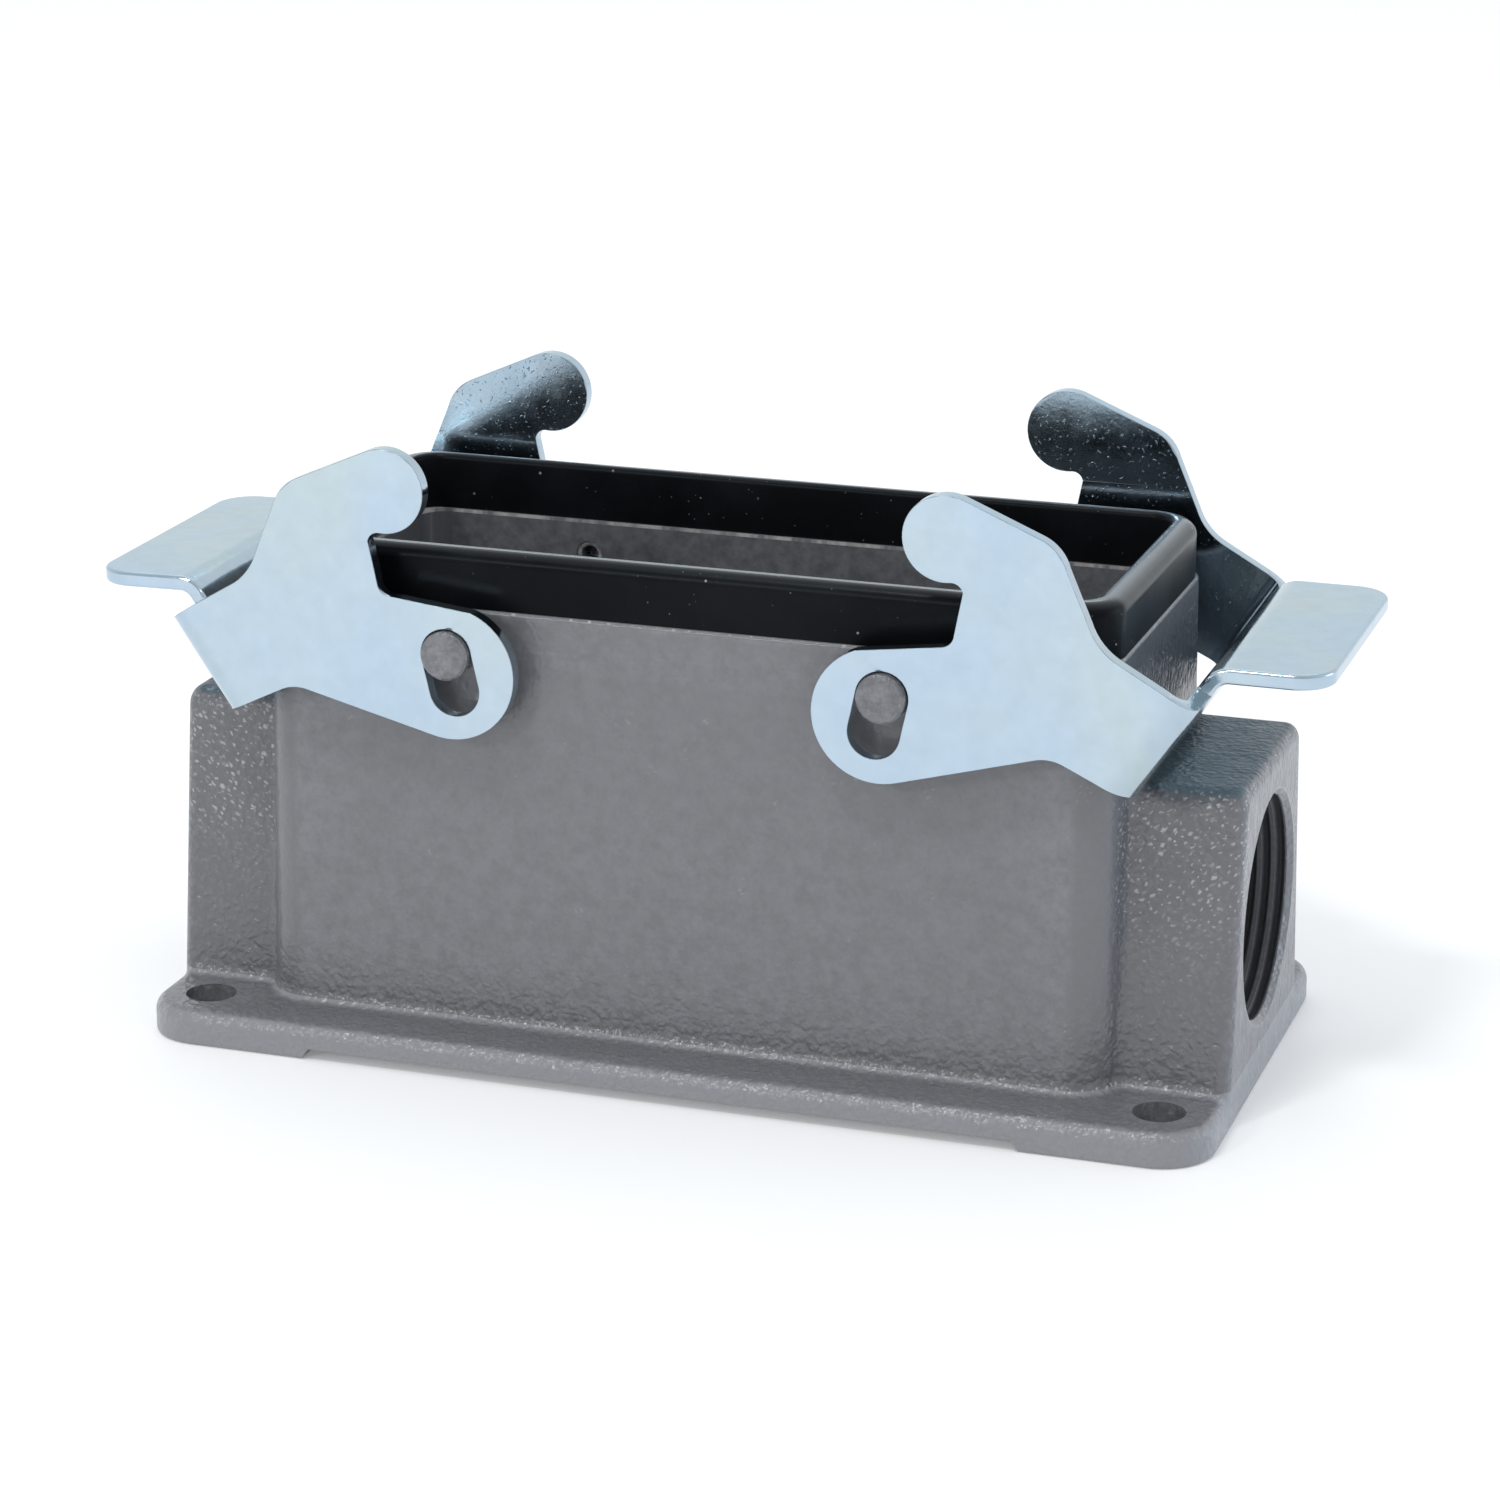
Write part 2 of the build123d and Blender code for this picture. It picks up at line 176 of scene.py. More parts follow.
def powder_coat(name, base, worn=0.0, cast=True):
    m = Mat(name)
    # pebbled coat: grains about half a millimetre across, in a softer orange peel
    w = warped(m, 900, 0.0012)
    grain = m.voronoi(1350, "SMOOTH_F1", co=w, smooth=0.45)
    fine = m.noise(3000, 2, 0.5, co=w)
    peel = m.noise(700, 2, 0.5)
    soft = m.noise(160, 2, 0.5)
    h = m.math("MULTIPLY_ADD", grain, -1.0, m.math("MULTIPLY", fine, 0.16))
    h = m.math("MULTIPLY_ADD", peel, 0.9, h)
    h = m.math("MULTIPLY_ADD", soft, 1.1, h)
    strength = 1.0
    dark = None
    if cast:
        # inside the opening and in the thread the coat is thinner and smoother; the opening, the end pocket, the
        # fixing holes and the thread grooves also get painted shade
        sep = m.add("ShaderNodeSeparateXYZ")
        m.link(m.co, sep.inputs[0])
        x, y, z = sep.outputs
        ax = m.math("ABSOLUTE", x)
        ay = m.math("ABSOLUTE", y)
        inside = m.math("MULTIPLY", m.math("LESS_THAN", ax, 0.0428), m.math("LESS_THAN", ay, 0.0177))
        inside = m.math("MULTIPLY", inside, m.math("GREATER_THAN", z, 0.0045))
        dz = m.math("SUBTRACT", z, 0.0188)
        rr = m.math("SQRT", m.math("ADD", m.math("MULTIPLY", y, y), m.math("MULTIPLY", dz, dz)))
        bore = m.math("MULTIPLY", m.math("LESS_THAN", rr, 0.01258), m.math("GREATER_THAN", x, 0.041))
        bore = m.math("MULTIPLY", bore, m.math("LESS_THAN", x, 0.0577))
        pocket = m.math("MULTIPLY", m.math("LESS_THAN", x, -0.0425), m.math("LESS_THAN", ay, 0.0113))
        pocket = m.math("MULTIPLY", pocket, m.math("GREATER_THAN", z, 0.0045))
        pocket = m.math("MULTIPLY", pocket, m.math("GREATER_THAN", x, -0.0557))
        hx = m.math("SUBTRACT", ax, 0.0525)
        hy = m.math("SUBTRACT", ay, 0.0225)
        hr = m.math("SQRT", m.math("ADD", m.math("MULTIPLY", hx, hx), m.math("MULTIPLY", hy, hy)))
        hole = m.math("MULTIPLY", m.math("LESS_THAN", hr, 0.00278), m.math("LESS_THAN", z, 0.0038))
        dark = m.math("MAXIMUM", inside, m.math("MAXIMUM", bore, pocket), clamp=True)
        groove = m.ramp(m.math("MULTIPLY", rr, 50), [(0.597, 0.0), (0.616, 1.0)])
        recess_painted_shade = m.math("MAXIMUM", m.math("MAXIMUM", inside, pocket), hole, clamp=True)
        recess_painted_shade = m.math("MAXIMUM", m.math("MULTIPLY", recess_painted_shade, 0.42), m.math("MULTIPLY", m.math("MULTIPLY", bore, groove), 0.88))
        # flats came out smoother than the end blocks, whose flanks are pebbled most near the top
        flank = m.math("MULTIPLY", m.math("GREATER_THAN", ax, 0.0462), m.math("GREATER_THAN", ay, 0.0120))
        flank = m.math("MULTIPLY", flank, m.math("LESS_THAN", ay, 0.0185))
        high = m.ramp(m.math("MULTIPLY_ADD", m.noise(120, 2, 0.5), 0.006, m.math("ADD", z, -0.003)),
                      [(0.0187, 0.0), (0.0212, 1.0)])
        flat = m.math("MULTIPLY", m.math("LESS_THAN", ax, 0.0462), m.math("GREATER_THAN", z, 0.0062))
        upper = m.math("MULTIPLY", flank, high)
        low = m.ramp(z, [(0.0065, 1.0), (0.0150, 0.0)])
        strength = m.math("MULTIPLY_ADD", flat, -0.46, 0.68)
        strength = m.math("MULTIPLY_ADD", m.math("MULTIPLY", flat, low), 0.30, strength)
        strength = m.math("MULTIPLY", strength, m.math("MULTIPLY_ADD", dark, -0.8, 1.0))
    n = m.add("ShaderNodeBump")
    m.link(h, n.inputs["Height"])
    n.inputs["Distance"].default_value = 0.00021
    m.put(n.inputs["Strength"], strength)
    n = n.outputs[0]
    tone = m.ramp(m.noise(70, 4, 0.6), [(0.32, [c * 0.985 for c in base]), (0.68, [c * 1.015 for c in base])])
    warm = m.mix(m.ramp(m.noise(26, 2, 0.5), [(0.4, 0.0), (0.65, 0.5)]), tone,
                 (base[0] * 1.02, base[1] * 0.99, base[2] * 0.995))
    # painted shade and highlight on the grain: grain tops painted lighter, the hollows between grains darker, less so
    # on the flats
    grain_painted_shade = m.ramp(grain, [(0.1, 1.07), (0.55, 0.88)])
    if cast:
        grain_painted_shade = m.mix(m.math("MULTIPLY", m.math("MULTIPLY_ADD", low, -0.6, 1.0), m.math("MULTIPLY", flat, 0.75)),
                       grain_painted_shade, (0.985, 0.985, 0.985))
    col = m.mix(1.0, warm, grain_painted_shade, "MULTIPLY")
    if dark is not None:
        # painted shade: these recesses darkened towards a third of the base grey
        col = m.mix(recess_painted_shade, col, [c * 0.30 for c in base])
    geo = m.add("ShaderNodeNewGeometry")
    sn = m.add("ShaderNodeSeparateXYZ")
    m.link(geo.outputs["Normal"], sn.inputs[0])
    if cast:
        # painted glints: small pale flecks drawn out along a diagonal, on the upper flanks and along rounded edges,
        # standing in for highlights on the grain tops
        fs = m.add("ShaderNodeSeparateXYZ")
        m.link(warped(m, 1500, 0.0007), fs.inputs[0])
        fx = m.math("ABSOLUTE", fs.outputs[0])
        fy = m.math("ABSOLUTE", fs.outputs[1])
        u = m.math("MULTIPLY_ADD", fy, -0.9, m.math("MULTIPLY_ADD", m.math("GREATER_THAN", x, 0.0), 0.3, fx))
        v = m.math("MULTIPLY_ADD", fy, -0.5, fs.outputs[2])
        along = m.math("MULTIPLY_ADD", u, 0.80, m.math("MULTIPLY", v, 0.60))
        cross = m.math("MULTIPLY_ADD", u, -0.60, m.math("MULTIPLY", v, 0.80))
        fc = m.add("ShaderNodeCombineXYZ")
        m.link(m.math("DIVIDE", along, 1.55), fc.inputs[0])
        m.link(m.math("DIVIDE", cross, 0.85), fc.inputs[1])
        vor = m.add("ShaderNodeTexVoronoi", feature="F1", voronoi_dimensions="2D")
        m.link(fc.outputs[0], vor.inputs["Vector"])
        vor.inputs["Scale"].default_value = 1400
        vor.inputs["Randomness"].default_value = 0.9
        cc = m.add("ShaderNodeSeparateColor")
        m.link(vor.outputs["Color"], cc.inputs[0])
        painted_glint = m.ramp(m.math("MULTIPLY", vor.outputs["Distance"], m.math("MULTIPLY_ADD", cc.outputs[1], 0.9, 0.8)),
                       [(0.13, 1.0), (0.31, 0.0)])
        gate = m.math("MULTIPLY", m.ramp(cc.outputs[0], [(0.10, 0.0), (0.60, 1.0)]),
                      m.ramp(m.noise(330, 2, 0.6), [(0.34, 0.35), (0.50, 1.0)]))
        nz = m.math("ABSOLUTE", sn.outputs[2])
        edge_glint_band = m.math("MULTIPLY", m.ramp(nz, [(0.30, 0.0), (0.48, 1.0)]), m.ramp(nz, [(0.74, 1.0), (0.88, 0.0)]))
        edge_glint_band = m.math("MULTIPLY", edge_glint_band, m.math("GREATER_THAN", sn.outputs[2], 0.0))
        where = m.math("MAXIMUM", m.math("MULTIPLY", upper, 0.95), m.math("MULTIPLY", edge_glint_band, 1.0))
        sparse = m.math("MULTIPLY", m.ramp(m.noise(240, 2, 0.6), [(0.62, 0.0), (0.68, 1.0)]), 0.22)
        where = m.math("MAXIMUM", where, m.math("MULTIPLY", sparse, flat))
        where = m.math("MULTIPLY", where, m.math("SUBTRACT", 1.0, dark, clamp=True))
        painted_glint = m.math("MULTIPLY", m.math("MULTIPLY", painted_glint, gate), where)
        # the painted glints are mixed in as a pale grey
        col = m.mix(m.math("MULTIPLY", painted_glint, 0.92), col, (0.40, 0.385, 0.38))
        # painted highlight: the plate rim is painted lighter, away from the fixing holes
        painted_rim_highlight = m.math("MULTIPLY", m.math("LESS_THAN", z, 0.0044), m.ramp(sn.outputs[2], [(0.78, 1.0), (0.95, 0.0)]))
        painted_rim_highlight = m.math("MULTIPLY", painted_rim_highlight, m.math("GREATER_THAN", hr, 0.00285))
        col = m.mix(m.math("MULTIPLY", painted_rim_highlight, 0.65), col, [c * 1.95 for c in base])
        # painted light: the plate's top face is lifted a little lighter
        painted_deck_light = m.math("MULTIPLY", m.math("LESS_THAN", z, 0.0046), m.ramp(sn.outputs[2], [(0.78, 0.0), (0.95, 1.0)]))
        col = m.mix(m.math("MULTIPLY", painted_deck_light, 0.8), col, (1.22, 1.22, 1.22), "MULTIPLY")
        # painted highlight: a bright dotted line where the wall meets the underside of the seal
        painted_highlight_line = m.math("MULTIPLY", inside, m.math("GREATER_THAN", z, 0.04886))
        painted_highlight_line = m.math("MULTIPLY", painted_highlight_line, m.ramp(m.noise(420, 3, 0.7, co=m.mapped(scale=(1, 1, 0.1))), [(0.40, 0.15), (0.62, 1.0)]))
        col = m.mix(m.math("MULTIPLY", painted_highlight_line, 0.9), col, (0.55, 0.53, 0.52))
        # painted shade: the shoulder tops under the levers are darkened in a cooler tone, with less coat there
        shoulder_painted_shade = m.math("MULTIPLY", m.ramp(sn.outputs[2], [(0.7, 0.0), (0.92, 1.0)]), m.math("GREATER_THAN", z, 0.03))
        shoulder_painted_shade = m.math("MULTIPLY", shoulder_painted_shade, m.math("GREATER_THAN", ax, 0.0462))
        col = m.mix(m.math("MULTIPLY", shoulder_painted_shade, 0.8), col, (0.48, 0.82, 0.93), "MULTIPLY")
        # painted light: the end faces are tinted lighter and bluer
        side = m.ramp(m.math("ABSOLUTE", sn.outputs[0]), [(0.7, 0.0), (0.95, 1.0)])
        col = m.mix(side, col, (1.02, 1.08, 1.14), "MULTIPLY")
        # painted light: a paler, bluish band on the mouth chamfer of the cable entry
        painted_mouth_light = m.math("MULTIPLY", m.math("LESS_THAN", rr, 0.0127), m.math("GREATER_THAN", x, 0.0577))
        col = m.mix(m.math("MULTIPLY", painted_mouth_light, 0.5), col, (0.24, 0.26, 0.285))
    else:
        # the pressed end of each shank is painted lighter in a ring round its dimple
        sp = m.add("ShaderNodeSeparateXYZ")
        m.link(m.co, sp.inputs[0])
        px = m.math("SUBTRACT", m.math("ABSOLUTE", sp.outputs[0]), 0.0234)
        pz = m.math("SUBTRACT", sp.outputs[2], 0.0453)
        rp = m.math("SQRT", m.math("ADD", m.math("MULTIPLY", px, px), m.math("MULTIPLY", pz, pz)))
        pale_shank_ring = m.math("MULTIPLY", m.math("LESS_THAN", m.math("ABSOLUTE", sp.outputs[1]), 0.0182),
                      m.ramp(m.math("MULTIPLY", rp, 100), [(0.096, 0.0), (0.118, 1.0)]))
        col = m.mix(pale_shank_ring, col, (0.40, 0.39, 0.37))
    # the coat thins on sharp edges and shows slightly lighter there
    edge = m.ramp(geo.outputs["Pointiness"], [(0.505, 0.0), (0.57, 1.0)])
    edge = m.math("MULTIPLY", edge, m.ramp(m.noise(650, 3, 0.7), [(0.35, 0.0), (0.65, 1.0)]))
    col = m.mix(m.math("MULTIPLY", edge, 0.30 + worn), col, [min(1, c * 2.0) for c in base])
    rough = m.ramp(m.noise(500, 3, 0.5), [(0.3, 0.34), (0.7, 0.46)])
    m.set(Base_Color=col, Roughness=rough, Normal=n, Specular_IOR_Level=0.5,
          Coat_Weight=m.math("MULTIPLY_ADD", shoulder_painted_shade, -0.42, 0.5) if cast else 0.5, Coat_Roughness=0.2)
    m.link(n, m.bsdf.inputs["Coat Normal"])
    return m.m


def rubber(name):
    m = Mat(name)
    base = (0.0042, 0.0043, 0.0052)
    h = m.math("MULTIPLY_ADD", m.noise(260, 3, 0.6), 0.7, m.math("MULTIPLY", m.noise(3200, 2, 0.5), 0.22))
    n = m.bump(h, 0.00006, 0.6)
    col = m.ramp(m.noise(60, 4, 0.6), [(0.35, [c * 0.7 for c in base]), (0.7, [c * 1.5 for c in base])])
    # lint and dust that a seal picks up
    dots = m.voronoi(420, "F1")
    keep = m.ramp(m.noise(150, 2, 0.6), [(0.47, 0.0), (0.56, 1.0)])
    spot = m.math("MULTIPLY", m.math("LESS_THAN", dots, 0.062), keep)
    col = m.mix(spot, col, srgb(135, 135, 138))
    dots2 = m.voronoi(900, "F1")
    keep2 = m.ramp(m.noise(90, 2, 0.6), [(0.44, 0.0), (0.58, 1.0)])
    spot2 = m.math("MULTIPLY", m.math("LESS_THAN", dots2, 0.07), keep2)
    col = m.mix(spot2, col, srgb(95, 95, 100))
    haze = m.ramp(m.noise(30, 5, 0.65), [(0.45, 0.0), (0.8, 0.03)])
    col = m.mix(haze, col, srgb(95, 100, 112))
    rough = m.ramp(m.noise(120, 3, 0.6), [(0.3, 0.27), (0.7, 0.34)])
    lw = m.add("ShaderNodeLayerWeight")
    lw.inputs["Blend"].default_value = 0.5
    graze = m.ramp(lw.outputs["Facing"], [(0.0, 0.15), (0.50, 0.16), (0.78, 1.0)])
    m.set(Base_Color=col, Roughness=rough, Normal=n, Specular_IOR_Level=graze,
          Sheen_Weight=0.03, Sheen_Roughness=0.3, IOR=1.6)
    m.bsdf.inputs["Specular Tint"].default_value = (0.78, 0.92, 1.0, 1)
    # the crown of the lip is polished by the hoods that close on it
    geo = m.add("ShaderNodeNewGeometry")
    sn = m.add("ShaderNodeSeparateXYZ")
    m.link(geo.outputs["Normal"], sn.inputs[0])
    m.link(m.ramp(sn.outputs[2], [(0.60, 0.0), (0.85, 0.25), (0.98, 0.8)]), m.bsdf.inputs["Coat Weight"])
    fall = m.ramp(sn.outputs[2], [(0.0, 0.42), (0.35, 0.34), (0.7, 0.55), (0.95, 1.0)])
    m.put(m.bsdf.inputs["Specular IOR Level"], m.math("MULTIPLY", graze, fall))
    m.bsdf.inputs["Coat Roughness"].default_value = 0.16
    m.bsdf.inputs["Coat IOR"].default_value = 1.75
    m.bsdf.inputs["Coat Tint"].default_value = (0.86, 0.95, 1.0, 1)
    m.bsdf.inputs["Sheen Tint"].default_value = (0.8, 0.92, 1.0, 1)
    return m.m


def zinc(name):
    m = Mat(name)
    # bright zinc with a clear blue passivation: pale, slightly cloudy, a faint
    # yellow-green cast in places, fine crystal sparkle and light handling marks
    cloud = m.noise(38, 4, 0.55, dist=0.5)
    tint = m.ramp(cloud, [(0.30, (0.455, 0.570, 0.680)), (0.46, (0.480, 0.580, 0.668)),
                          (0.60, (0.495, 0.590, 0.645)), (0.76, (0.510, 0.590, 0.590))])
    # flat upper faces are tinted greener
    geo = m.add("ShaderNodeNewGeometry")
    sn = m.add("ShaderNodeSeparateXYZ")
    m.link(geo.outputs["Normal"], sn.inputs[0])
    topface = m.ramp(sn.outputs[2], [(0.75, 0.0), (0.95, 1.0)])
    green = m.ramp(m.noise(60, 3, 0.6, dist=0.6), [(0.35, (0.89, 0.98, 1.02)), (0.52, (0.96, 1.02, 0.99)), (0.70, (1.01, 1.02, 0.91))])
    tint = m.mix(topface, tint, m.mix(1.0, tint, green, "MULTIPLY"))
    mott = m.ramp(m.noise(420, 4, 0.65), [(0.3, 0.955), (0.7, 1.03)])
    col = m.mix(1.0, tint, mott, "MULTIPLY")
    col = m.mix(1.0, col, (0.93, 0.94, 0.945), "MULTIPLY")
    sc1 = m.noise(330, 4, 0.8, co=m.mapped(scale=(0.06, 1, 1.3), rot=(0, 0.35, 0)))
    sc2 = m.noise(260, 4, 0.8, co=m.mapped(scale=(1.2, 1, 0.07), rot=(0, -0.5, 0)))
    scratch = m.math("MAXIMUM", m.ramp(sc1, [(0.662, 0.0), (0.672, 1.0), (0.684, 0.0)]),
                     m.ramp(sc2, [(0.668, 0.0), (0.676, 1.0), (0.686, 0.0)]))
    w = warped(m, 1500, 0.0004)
    speck = m.ramp(m.noise(2600, 1, 0.5, co=w), [(0.66, 0.0), (0.74, 1.0)])
    # the crystal specks stand out on the faces that were turned inwards in the plating barrel
    sp = m.add("ShaderNodeSeparateXYZ")
    m.link(m.co, sp.inputs[0])
    inward = m.math("LESS_THAN", m.math("MULTIPLY", sn.outputs[1], m.math("SIGN", sp.outputs[1])), -0.4)
    speck = m.math("MULTIPLY", speck, m.math("MULTIPLY_ADD", inward, 0.92, 0.08))
    # painted shade and painted dark reflection: faces turned in toward the housing are darkened, those of the right
    # lever most
    inward_painted_shade = m.math("MULTIPLY_ADD", m.math("GREATER_THAN", sp.outputs[0], 0.0), 0.15, 0.75)
    col = m.mix(m.math("MULTIPLY", inward, inward_painted_shade), col, (0.74, 0.77, 0.77), "MULTIPLY")
    stain = m.ramp(m.noise(230, 3, 0.7, dist=1.0), [(0.66, 0.0), (0.72, 1.0)])
    col = m.mix(m.math("MULTIPLY", scratch, 0.08), col, (0.34, 0.42, 0.50))
    col = m.mix(m.math("MULTIPLY", stain, 0.12), col, (0.40, 0.46, 0.48))
    # cut edges and their burr line are duller
    cut = m.add("ShaderNodeAttribute", attribute_name="cut_edge").outputs["Fac"]
    worn = m.math("MULTIPLY", cut, m.ramp(m.noise(700, 3, 0.7), [(0.35, 0.15), (0.6, 0.75)]))
    col = m.mix(worn, col, (0.22, 0.25, 0.27))
    rough = m.ramp(m.noise(300, 4, 0.6), [(0.3, 0.11), (0.7, 0.18)])
    rough = m.math("ADD", rough, m.math("MULTIPLY", scratch, 0.04), clamp=True)
    rough = m.math("MULTIPLY_ADD", cut, 0.26, rough, clamp=True)
    h = m.math("MULTIPLY_ADD", m.noise(1700, 2, 0.5, co=w), 0.30, m.math("MULTIPLY", speck, 0.80))
    h = m.math("MULTIPLY_ADD", m.noise(170, 2, 0.5), m.math("MULTIPLY_ADD", inward, -0.8, 1.2), h)
    h = m.math("MULTIPLY_ADD", scratch, -0.05, h)
    nb = m.add("ShaderNodeBump")
    m.link(h, nb.inputs["Height"])
    nb.inputs["Distance"].default_value = 0.00006
    m.put(nb.inputs["Strength"], m.math("MULTIPLY_ADD", inward, -0.25, 0.6))
    n = nb.outputs[0]
    m.set(Base_Color=col, Metallic=1.0, Roughness=rough, Normal=n)
    return m.m


GREY = (0.136, 0.138, 0.149)
coat = powder_coat("powder_coat_grey", GREY)
coat_pin = powder_coat("pin_coat", [c * 0.92 for c in GREY], worn=0.35, cast=False)
seal_rubber = rubber("seal_rubber")
plated = zinc("zinc_plated_sheet")


def dress(obj, mat):
    obj.data.materials.clear()
    obj.data.materials.append(mat)


dress(nodes["housing"], coat)
dress(nodes["rim_seal"], seal_rubber)
for n in ("pin_left_front", "pin_left_rear", "pin_right_front", "pin_right_rear"):
    dress(nodes[n], coat_pin)


# ---------------------------------------------------------------- levers
def edged_copy(node, name, width, seg, mat, body):
    """The pressed sheet with the small edge radius that tumbling and plating leave."""
    src = nodes[node]
    me = src.data.copy()
    me.name = name
    ob = bpy.data.objects.new(name, me)
    S.collection.objects.link(ob)
    bm = bmesh.new()
    bm.from_mesh(me)
    bmesh.ops.remove_doubles(bm, verts=bm.verts, dist=2e-6)
    bmesh.ops.dissolve_limit(bm, angle_limit=math.radians(0.6), verts=bm.verts, edges=bm.edges)
    bm.normal_update()
    sharp = [e for e in bm.edges if len(e.link_faces) == 2 and e.calc_face_angle(0) > math.radians(40)]
    # the crease under each hook is a soft one
    for v in bm.verts:
        if abs(v.co.y) > 0.0229 and v.co.z > 0.0562:
            v.co.y -= math.copysign(0.00024, v.co.y)
    cut = bm.faces.layers.float.new("cut_edge")
    strips = bmesh.ops.bevel(bm, geom=sharp, offset=width, offset_type="OFFSET", segments=seg, profile=0.5,
                             affect="EDGES", clamp_overlap=True)
    for f in strips["faces"]:
        f[cut] = 1.0
    bmesh.ops.remove_doubles(bm, verts=bm.verts, dist=2e-6)
    bmesh.ops.triangulate(bm, faces=[f for f in bm.faces if len(f.verts) > 4])
    bm.to_mesh(me)
    bm.free()
    me.shade_smooth()
    me.set_sharp_from_angle(angle=math.radians(50))
    wn = ob.modifiers.new("wn", "WEIGHTED_NORMAL")
    wn.weight = 50
    wn.keep_sharp = True
    bpy.context.view_layer.update()
    baked = bpy.data.meshes.new_from_object(ob.evaluated_get(bpy.context.evaluated_depsgraph_get()))
    ob.modifiers.clear()
    ob.data = baked
    baked.name = name
    dress(ob, mat)
    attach(ob, body)
    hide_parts(node)
    return ob


for side in ("left", "right"):
    edged_copy("lever_" + side, "lever_%s_sheet" % side, 0.00018, 2, plated, "lever_" + side)


# ---------------------------------------------------------------- seal
def seal_ring(t, z, per_corner=14, per_side=30):
    """One closed ring of the seal: t = 0 on its outer wall, 1 on its inner wall."""
    hl, hw, r = 46.0 - 2.7 * t, 20.2 - 2.25 * t, 5.0 - 2.2 * t
    pts = []
    corners = [(hl - r, hw - r, 0), (-(hl - r), hw - r, 90), (-(hl - r), -(hw - r), 180), (hl - r, -(hw - r), 270)]
    for k, (cx, cy, a0) in enumerate(corners):
        arc = [(cx + r * math.cos(math.radians(a0 + 90 * i / per_corner)),
                cy + r * math.sin(math.radians(a0 + 90 * i / per_corner))) for i in range(per_corner + 1)]
        nx, ny, na = corners[(k + 1) % 4]
        end = (nx + r * math.cos(math.radians(na)), ny + r * math.sin(math.radians(na)))
        run = [(arc[-1][0] + (end[0] - arc[-1][0]) * i / per_side,
                arc[-1][1] + (end[1] - arc[-1][1]) * i / per_side) for i in range(1, per_side)]
        pts += arc + run
    return [Vector((x / 1000, y / 1000, z / 1000)) for x, y in pts]


def make_seal():
    prof = [(0, 49.2), (0, 51.5), (0, 53.75)]
    for i in range(13):
        a = math.radians(7.5 * i)
        prof.append((0.72 * (1 - math.cos(a)), 53.80 + 1.60 * math.sin(a)))
    prof += [(0.78, 55.375), (0.84, 55.32), (0.90, 55.22), (0.945, 55.10), (0.98, 54.93), (1.0, 54.70), (1.0, 49.2)]
    bm = bmesh.new()
    rings = [[bm.verts.new(p) for p in seal_ring(t, z)] for t, z in prof]
    n = len(rings[0])
    for a, b in zip(rings, rings[1:] + rings[:1]):
        for i in range(n):
            bm.faces.new((a[i], a[(i + 1) % n], b[(i + 1) % n], b[i]))
    bmesh.ops.recalc_face_normals(bm, faces=bm.faces)
    me = bpy.data.meshes.new("rim_seal_lip")
    bm.to_mesh(me)
    bm.free()
    me.shade_smooth()
    me.set_sharp_from_angle(angle=math.radians(50))
    ob = bpy.data.objects.new("rim_seal_lip", me)
    S.collection.objects.link(ob)
    dress(ob, seal_rubber)
    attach(ob, "housing")
    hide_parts("rim_seal")


make_seal()


# ---------------------------------------------------------------- stage
def area(name, loc, target, size, power, color=(1, 1, 1), size_y=None):
    d = bpy.data.lights.new(name, "AREA")
    d.energy = power
    d.color = color
    d.size = size
    if size_y:
        d.shape = "RECTANGLE"
        d.size_y = size_y
    o = bpy.data.objects.new(name, d)
    S.collection.objects.link(o)
    o.location = loc
    o.rotation_mode = "QUATERNION"
    o.rotation_quaternion = (Vector(target) - Vector(loc)).to_track_quat("-Z", "Y")
    return o


floor_me = bpy.data.meshes.new("floor")
bm = bmesh.new()
bmesh.ops.create_grid(bm, x_segments=8, y_segments=8, size=12.0)
bm.to_mesh(floor_me)
bm.free()
floor = bpy.data.objects.new("floor", floor_me)
S.collection.objects.link(floor)
fm = Mat("floor_paper")
fm.set(Base_Color=fm.ramp(fm.noise(3, 3, 0.5), [(0.3, 0.90), (0.7, 0.92)]), Roughness=0.7,
       Normal=fm.bump(fm.noise(400, 3, 0.6), 0.0001, 0.2))
fm.bsdf.inputs["Emission Color"].default_value = (1, 1, 1, 1)
fm.bsdf.inputs["Emission Strength"].default_value = 0.15
dress(floor, fm.m)

world = bpy.data.worlds.new("studio")
world.use_nodes = True
wt = world.node_tree
bg = wt.nodes["Background"]
tc = wt.nodes.new("ShaderNodeTexCoord")
sx = wt.nodes.new("ShaderNodeSeparateXYZ")
wr = wt.nodes.new("ShaderNodeValToRGB")
wt.links.new(tc.outputs["Generated"], sx.inputs[0])
wt.links.new(sx.outputs[2], wr.inputs[0])
wm = wt.nodes.new("ShaderNodeMapRange")
wm.inputs["From Min"].default_value, wm.inputs["From Max"].default_value = -0.9, 0.1
wm.inputs["To Min"].default_value, wm.inputs["To Max"].default_value = 0.72, 1.0
wt.links.new(sx.outputs[1], wm.inputs["Value"])
wt.links.new(wm.outputs[0], bg.inputs[1])
wt.links.new(wr.outputs[0], bg.inputs[0])
wr.color_ramp.elements[0].position = 0.0
wr.color_ramp.elements[0].color = (0.96, 0.99, 1.02, 1)
wr.color_ramp.elements[1].position = 0.9
wr.color_ramp.elements[1].color = (0.82, 0.85, 0.88, 1)
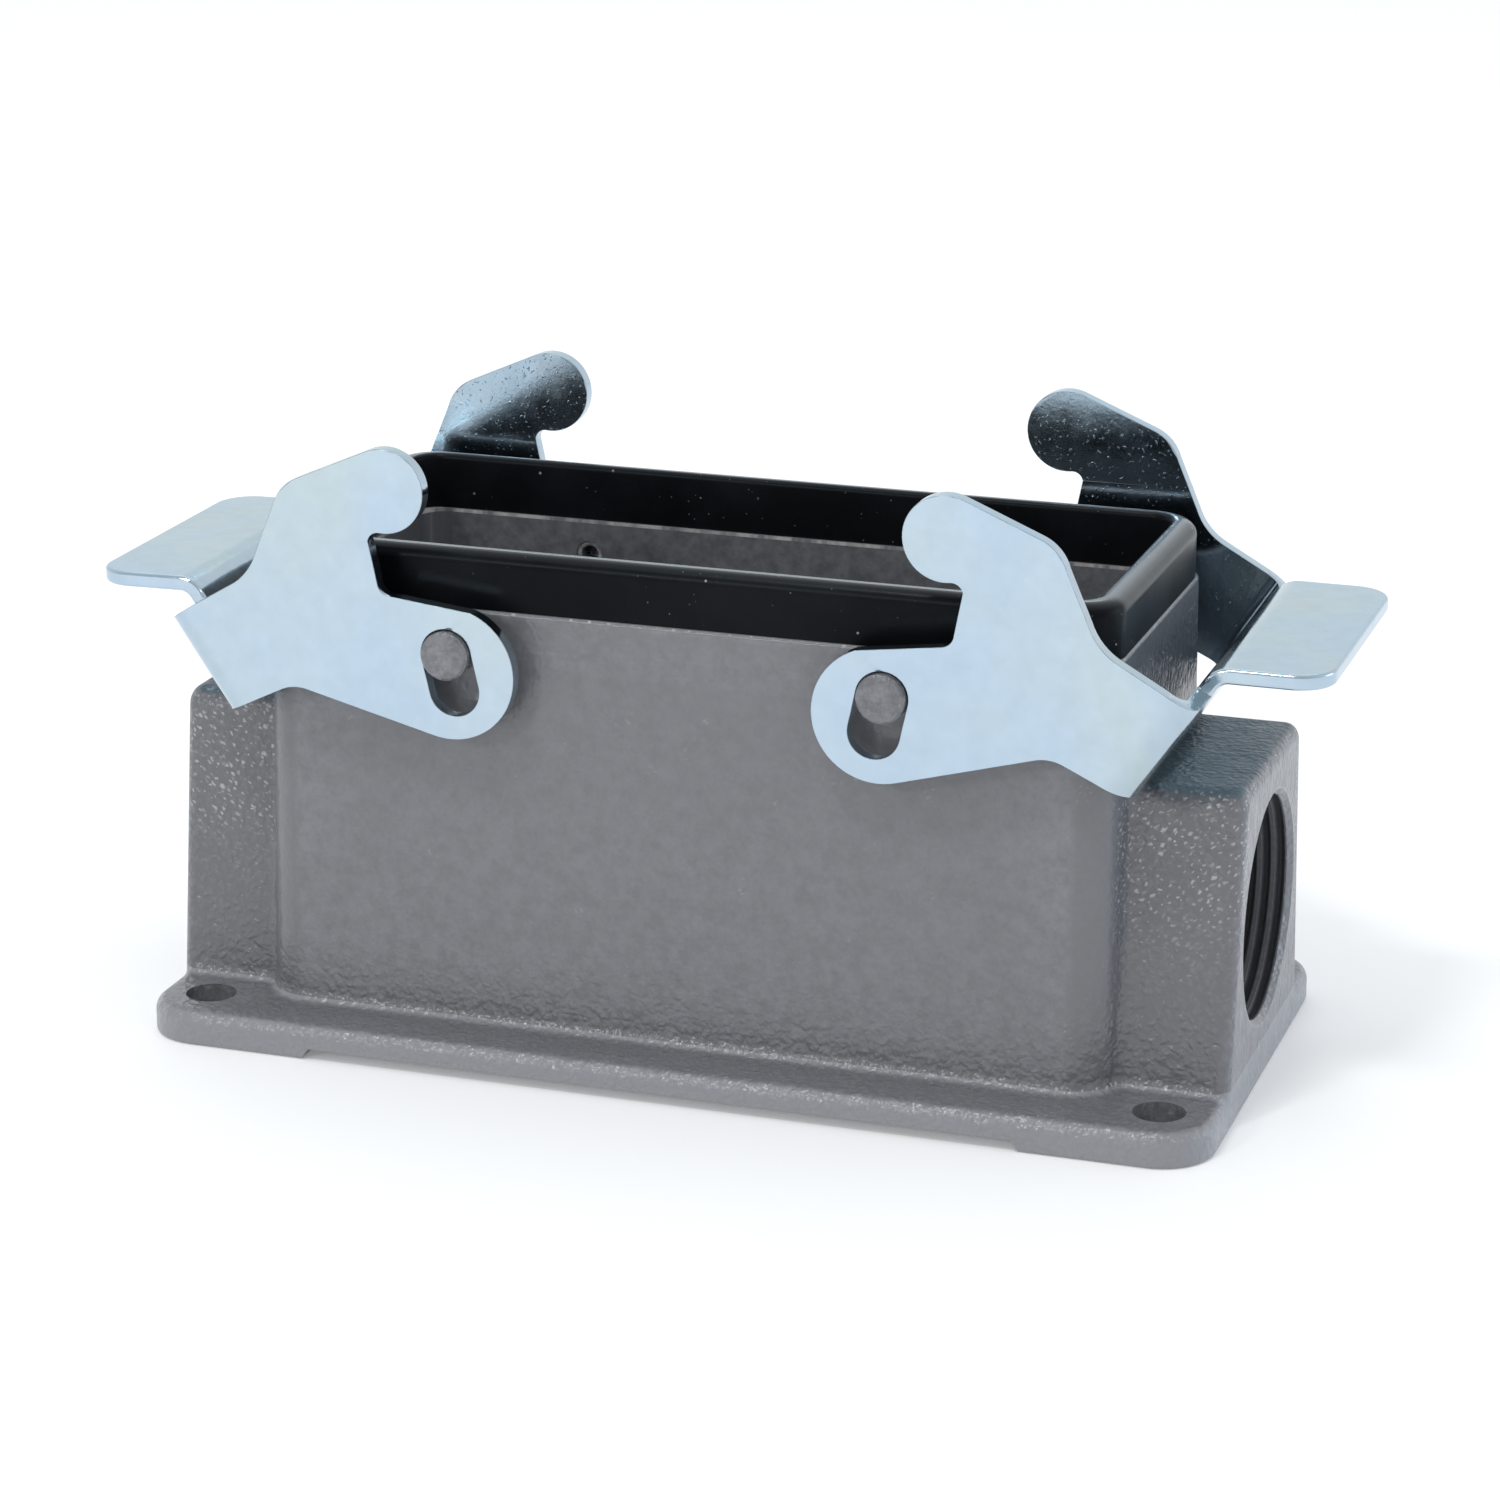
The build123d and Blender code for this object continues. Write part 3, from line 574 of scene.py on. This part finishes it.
# the camera itself sees a plain white backdrop
lp = wt.nodes.new("ShaderNodeLightPath")
plain = wt.nodes.new("ShaderNodeBackground")
plain.inputs[0].default_value = (1, 1, 1, 1)
plain.inputs[1].default_value = 1.0
both = wt.nodes.new("ShaderNodeMixShader")
wt.links.new(lp.outputs["Is Camera Ray"], both.inputs[0])
wt.links.new(bg.outputs[0], both.inputs[1])
wt.links.new(plain.outputs[0], both.inputs[2])
wt.links.new(both.outputs[0], wt.nodes["World Output"].inputs["Surface"])
S.world = world


def lamp(name, az, el, dist, sx, sy, radiance, color=(1, 1, 1), aim=(0, 0, 0.03)):
    a, e = math.radians(az), math.radians(el)
    d = Vector((math.sin(a) * math.cos(e), -math.cos(a) * math.cos(e), math.sin(e)))
    return area(name, Vector(aim) + d * dist, aim, sx, radiance * math.pi * sx * sy, color, sy)


# softboxes: overhead, front upper left, and a strip behind
lamp("front_high", -12, 62, 0.9, 0.20, 0.10, 28.0)
lamp("front_low", -20, 24, 0.9, 0.12, 0.10, 29.0)
lamp("right_cool", 112, 12, 1.0, 0.5, 0.4, 1.9, (0.78, 0.9, 1.0))
lamp("strip_behind", 200, 40, 1.0, 0.6, 0.16, 2.0, (0.95, 0.98, 1.0))

# ---------------------------------------------------------------- camera
az, el, roll = math.radians(18.38), math.radians(17.69), math.radians(0.12)
back = Vector((math.sin(az) * math.cos(el), -math.cos(az) * math.cos(el), math.sin(el)))
right = Vector((math.cos(az), math.sin(az), 0))
up = back.cross(right)
R = math.cos(roll) * right + math.sin(roll) * up
U = -math.sin(roll) * right + math.cos(roll) * up
target = Vector((0.00142, -0.00002, 0.03017))
cam_d = bpy.data.cameras.new("camera")
cam_d.lens = 4302.09 / 1500 * 36
cam_d.sensor_width = 36
cam_d.clip_start, cam_d.clip_end = 0.01, 50
cam = bpy.data.objects.new("camera", cam_d)
S.collection.objects.link(cam)
cam.matrix_world = Matrix((
    (R.x, U.x, back.x, 0), (R.y, U.y, back.y, 0), (R.z, U.z, back.z, 0), (0, 0, 0, 1)))
cam.location = target + back * 0.46208
S.camera = cam
